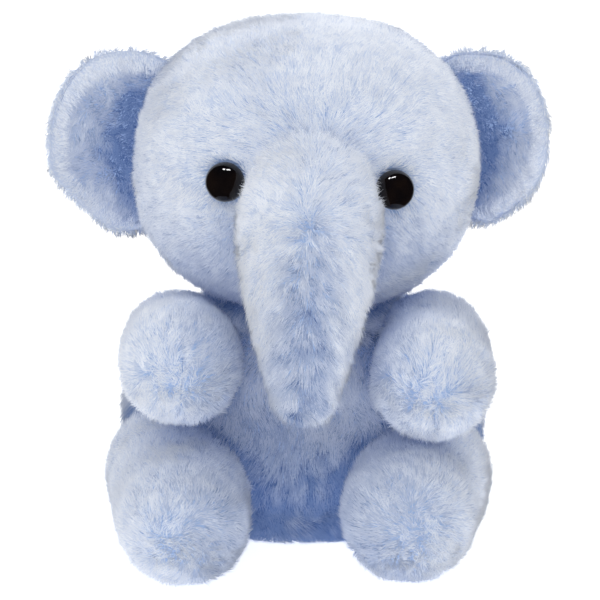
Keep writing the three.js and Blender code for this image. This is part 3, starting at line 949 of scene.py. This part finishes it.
def pile(panel, seed):
    """The panel's pile: one tapering three-sided fibre, bent in its middle, for each strand."""
    rng = np.random.default_rng(seed)
    style = look_of(panel)
    strands = strands_on(panel, style, rng)
    cells = tuft_cells(strands.root, seed)
    tuft = rng.normal(size=(cells.max() + 1, 3))[cells]
    lower, upper = bends(style, rng, strands, tuft)
    middle = tufted(strands.root + lower, cells, 0.05)
    tip = tufted(middle + upper, cells, 0.12)
    middle[:, 2] = np.maximum(middle[:, 2], FLOOR_CLEARANCE)
    tip[:, 2] = np.maximum(tip[:, 2], FLOOR_CLEARANCE)
    corners, normals = strand_corners(strands, middle, tip, rng)
    tones_of = tones_for(style, rng, strands.root, strands.shade_paint, tuft)

    count = len(corners)
    parts = math.ceil(count / STRANDS_A_PIECE)
    pieces = []
    for i, part in enumerate(np.array_split(np.arange(count), parts)):
        name = f"{panel.node}_pile" + (f"_{i + 1}" if parts > 1 else "")
        pieces.append(strand_mesh(name, corners[part], normals[part], tones_of[part]))
    return pieces


def strand_mesh(name, strand, normals, tones_of):
    """Each strand's three sides: a root part in one tone and a pointed tip in another."""
    count = len(strand)
    mesh = bpy.data.meshes.new(name)
    mesh.vertices.add(count * 7)
    mesh.vertices.foreach_set("co", (strand * MM).astype(np.float32).ravel())
    root_sides = [(0, 1, 4, 3), (1, 2, 5, 4), (2, 0, 3, 5)]
    tip_sides = [(3, 4, 6), (4, 5, 6), (5, 3, 6)]
    pattern = np.concatenate(root_sides + tip_sides)
    loops = (np.arange(count)[:, None] * 7 + pattern).ravel()
    mesh.loops.add(len(loops))
    mesh.loops.foreach_set("vertex_index", loops.astype(np.int32))
    starts = (np.arange(count)[:, None] * len(pattern) + np.array((0, 4, 8, 12, 15, 18))).ravel()
    mesh.polygons.add(count * 6)
    mesh.polygons.foreach_set("loop_start", starts.astype(np.int32))
    for material in TIPS + ROOTS:
        mesh.materials.append(material)
    mesh.polygons.foreach_set("material_index", np.repeat(tones_of, 3, axis=1).ravel().astype(np.int32))
    mesh.update(calc_edges=True)
    mesh.shade_smooth()
    mesh.normals_split_custom_set_from_vertices(normals.reshape(-1, 3))
    return add_object(name, mesh)


def attach(piece, body):
    """Rides a piece on its body; the trunk's cloth and stuffing are left unparented, with their placement
    applied.
    """
    if body == "trunk":
        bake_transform(piece)
    else:
        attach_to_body(piece, body)


def dress(form):
    """Every panel of a form: its backing and its pile, on the form's body."""
    whole = ring_mesh(form)
    for node in form.panels:
        panel = sewn_panel(form, whole, node)
        sheet = backing(panel)
        furs = pile(panel, sum(node.encode()))
        for piece in [sheet, *furs]:
            attach(piece, form.body)
        for fur in furs:
            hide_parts(node)
            fur.visible_shadow = False
            fur.visible_diffuse = False
    whole.free()


for form in FORMS:
    dress(form)


# ---- what is inside, and the eyes ----
def lathe(name, profile, columns, seat, axis, material):
    """A closed turned piece about an axis; the profile is [radius, height] in mm from pole to pole."""
    turn = Vector((0, 0, 1)).rotation_difference(Vector(axis)).to_matrix().to_4x4()
    mesh = bmesh.new()
    rings = []
    for radius, height in profile:
        angles = [2 * math.pi * j / columns for j in range(columns)]
        rings.append([mesh.verts.new((radius * math.cos(a), radius * math.sin(a), height)) for a in angles])
    for low, high in zip(rings, rings[1:]):
        for j in range(columns):
            k = (j + 1) % columns
            mesh.faces.new((low[j], low[k], high[k], high[j]))
    bmesh.ops.remove_doubles(mesh, verts=mesh.verts, dist=1e-4)
    mesh.transform(Matrix.Scale(MM, 4) @ Matrix.Translation(Vector(seat)) @ turn)
    data = bpy.data.meshes.new(name)
    mesh.to_mesh(data)
    mesh.free()
    data.materials.append(material)
    data.shade_smooth()
    return add_object(name, data)


EYE_GLOSS = eye_material()
NYLON = washer_material()


def eye(side):
    """A solid domed button on a ridged shank."""
    seat, axis = SEATS[side]
    bottom = seat - axis * EYE_SINK
    wide = SHANK_RADIUS
    profile = [(0, -SHANK_LENGTH), (wide - 0.4, -SHANK_LENGTH), (wide, 1 - SHANK_LENGTH)]
    for ridge in range(SHANK_RIDGES):
        height = -7.4 + ridge * 1.1
        profile += [(wide, height), (1.62, height + 0.3), (wide, height + 0.6)]
    profile += [(wide, 0.1), (2.4, 0.4), (5.4, 0.4), (5.85, 0.55)]
    for t in np.linspace(0, math.pi / 2, 22):
        profile.append((EYE_RADIUS * math.cos(t) ** 0.8, 1.0 + 5.2 * math.sin(t) ** 0.8))
    profile[-1] = (0, profile[-1][1])
    piece = lathe(f"eye_bead_{side}", profile, 48, bottom, axis, EYE_GLOSS)
    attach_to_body(piece, "head")
    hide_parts(f"eye_{side}")


for side in EYES:
    eye(side)

FILL = fill_material()
PELLET = pellet_material()


FILL_VOXEL = 0.0016
FILL_ROUNDS = 6


def stuffed(node, name, body, material, lump):
    """A lumpy, rounded copy of a soft CAD node, kept inside it."""
    source = frame["nodes"][node]
    piece = add_object(name, source.data.copy())
    piece.data.materials.clear()
    remesh = piece.modifiers.new("even", "REMESH")
    remesh.mode = "VOXEL"
    remesh.voxel_size = FILL_VOXEL
    smooth = piece.modifiers.new("round", "SMOOTH")
    smooth.factor = 0.5
    smooth.iterations = FILL_ROUNDS
    shown = bpy.context.evaluated_depsgraph_get()
    mesh = bpy.data.meshes.new_from_object(piece.evaluated_get(shown), depsgraph=shown)
    piece.modifiers.clear()
    piece.data = mesh
    mesh.name = name
    co = np.empty(len(mesh.vertices) * 3)
    no = np.empty(len(mesh.vertices) * 3)
    mesh.vertices.foreach_get("co", co)
    mesh.vertices.foreach_get("normal", no)
    co, no = co.reshape(-1, 3), no.reshape(-1, 3)
    sink = (waves(co / MM, *LUMP)[:, :1] - 1.2) * lump * MM
    mesh.vertices.foreach_set("co", (co + no * np.minimum(sink, 0)).ravel())
    mesh.materials.clear()
    mesh.materials.append(material)
    mesh.shade_smooth()
    mesh.update()
    attach(piece, body)
    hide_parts(node)


for body, nodes in frame["record"]["behaviour"]["bodies"].items():
    for node in nodes:
        if "stuffing" in node:
            stuffed(node, node.replace("stuffing", "fibrefill"), body, FILL, 0.35)
stuffed("pellet_bag", "pellet_pouch", "torso", PELLET, 0.2)
for side in EYES:
    washer = frame["nodes"][f"eye_washer_{side}"]
    washer.data.materials.clear()
    washer.data.materials.append(NYLON)


# ---- floor, light and camera ----
def floor_material():
    material, tree, shader = new_material("studio_floor")
    textured(tree, shader, (0.6, 0.6, 0.6), (0.62, 0.62, 0.62), 4)
    shader.inputs["Roughness"].default_value = 0.9
    shader.inputs["Emission Color"].default_value = (1, 1, 1, 1)
    shader.inputs["Emission Strength"].default_value = 0.78
    return material


def floor():
    mesh = bpy.data.meshes.new("studio_floor")
    reach = 6
    mesh.from_pydata([(-reach, -reach, 0), (reach, -reach, 0), (reach, reach, 0), (-reach, reach, 0)],
                     [], [(0, 1, 2, 3)])
    mesh.materials.append(floor_material())
    piece = add_object("studio_floor", mesh)
    piece.visible_glossy = False


def softbox(name, place, size, power, in_eyes=False):
    """A rectangular light; one kind lights the toy, and the other only shows in what is glossy."""
    light = bpy.data.lights.new(name, "AREA")
    light.shape = "RECTANGLE"
    light.size, light.size_y = size
    light.energy = power
    lamp = bpy.data.objects.new(name, light)
    bpy.context.scene.collection.objects.link(lamp)
    lamp.location = place
    aim = Vector((0, 0, 0.09)) - Vector(place)
    lamp.rotation_euler = aim.to_track_quat("-Z", "Y").to_euler()
    lamp.visible_glossy = in_eyes
    lamp.visible_diffuse = not in_eyes


def studio():
    world = bpy.data.worlds.new("studio")
    bpy.context.scene.world = world
    world.use_nodes = True
    tree = world.node_tree
    sky = tree.nodes["Background"]
    sky.inputs["Color"].default_value = (1, 1, 1, 1)
    sky.inputs["Strength"].default_value = 0.45
    backdrop = tree.nodes.new("ShaderNodeBackground")  # what the camera sees past the floor
    backdrop.inputs["Color"].default_value = (1, 1, 1, 1)
    ray = tree.nodes.new("ShaderNodeLightPath")
    mix = tree.nodes.new("ShaderNodeMixShader")
    link(tree, ray.outputs["Is Camera Ray"], mix.inputs["Fac"])
    link(tree, sky.outputs["Background"], mix.inputs[1])
    link(tree, backdrop.outputs["Background"], mix.inputs[2])
    link(tree, mix.outputs["Shader"], tree.nodes["World Output"].inputs["Surface"])
    world.cycles_visibility.glossy = False
    softbox("key", (-0.5, -1.1, 1.3), (1.5, 1.1), 8)
    softbox("top", (0.1, 0.1, 1.4), (1.4, 1.4), 9.5)
    softbox("back", (0.4, 1.2, 0.9), (1.2, 0.9), 7)
    softbox("catch_wide", (0.12, -0.35, 1.2), (0.4, 0.16), 9, in_eyes=True)
    softbox("catch_narrow", (-0.3, -0.35, 1.2), (0.2, 0.22), 6, in_eyes=True)
    bpy.context.scene.view_settings.view_transform = "Standard"


def camera():
    data = bpy.data.cameras.new("camera")
    data.lens = CAMERA_LENS
    data.clip_start, data.clip_end = 0.1, 20
    view = bpy.data.objects.new("camera", data)
    bpy.context.scene.collection.objects.link(view)
    tilt = math.radians(CAMERA_ELEVATION)
    back = Vector((0, -math.cos(tilt), math.sin(tilt)))
    view.location = CAMERA_AIM + back * CAMERA_DISTANCE
    view.rotation_euler = (-back).to_track_quat("-Z", "Y").to_euler()
    bpy.context.scene.camera = view


floor()
studio()
camera()

bpy.context.view_layer.update()
